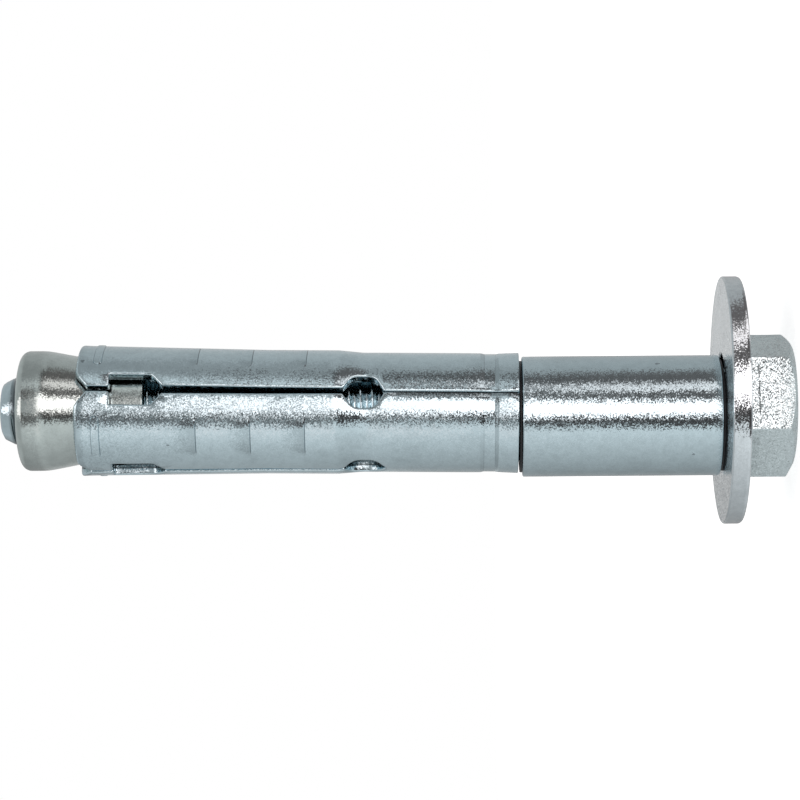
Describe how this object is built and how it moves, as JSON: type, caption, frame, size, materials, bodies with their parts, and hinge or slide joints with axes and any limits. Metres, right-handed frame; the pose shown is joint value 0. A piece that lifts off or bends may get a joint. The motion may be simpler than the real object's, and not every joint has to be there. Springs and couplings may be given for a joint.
{
  "type": "sleeve anchor with hex bolt",
  "caption": "Expansion sleeve anchor: a hex bolt through a wide washer, a plain distance sleeve and a slotted, barbed expansion sleeve into a cone nut that spreads its mouth.",
  "frame": {"origin": "middle of the bolt head's flat end face, on which the anchor stands", "axes": "+Z along the bolt from its head to its tip; +X towards the side that the washer is pushed to; +Y completes the right-handed frame"},
  "size_m": [0.037, 0.037, 0.1177],
  "materials": {
    "bolt_zinc": "bright zinc plating with a fine grain",
    "washer_zinc": "satin zinc plating",
    "sleeve_zinc": "bright zinc plating with a fine grain",
    "nut_zinc": "matt zinc plating, slightly warm",
    "ring_plastic": "black moulded plastic"
  },
  "bodies": {
    "bolt": {"hex_bolt": "bolt_zinc"},
    "washer": {"flat_washer": "washer_zinc"},
    "distance_sleeve": {"distance_sleeve": "sleeve_zinc", "head_end_ring": "ring_plastic", "middle_ring": "ring_plastic"},
    "expansion_sleeve": {"expansion_sleeve": "sleeve_zinc"},
    "cone_nut": {"cone_nut": "nut_zinc"}
  },
  "joints": [
    {"name": "washer_turn", "type": "hinge", "parent": "bolt", "child": "washer", "pos_m": [0.00084, 0, 0.00765], "axis": [0, 0, 1], "continuous": true},
    {"name": "distance_sleeve_turn", "type": "hinge", "parent": "bolt", "child": "distance_sleeve", "pos_m": [-0.00141, 0, 0.01085], "axis": [0, 0, 1], "continuous": true},
    {"name": "unscrewing_turn", "type": "hinge", "parent": "bolt", "child": "expansion_sleeve", "pos_m": [0, 0, 0.0407], "axis": [0, 0, 1], "range_deg": [0, 1800]},
    {"name": "nut_travel", "type": "slide", "parent": "expansion_sleeve", "child": "cone_nut", "axis": [0, 0, 1], "range_m": [0, 0.00876]}
  ],
  "couplings": [
    {"joint": "nut_travel", "follows": "unscrewing_turn", "m_per_rad": 0.00027852}
  ]
}
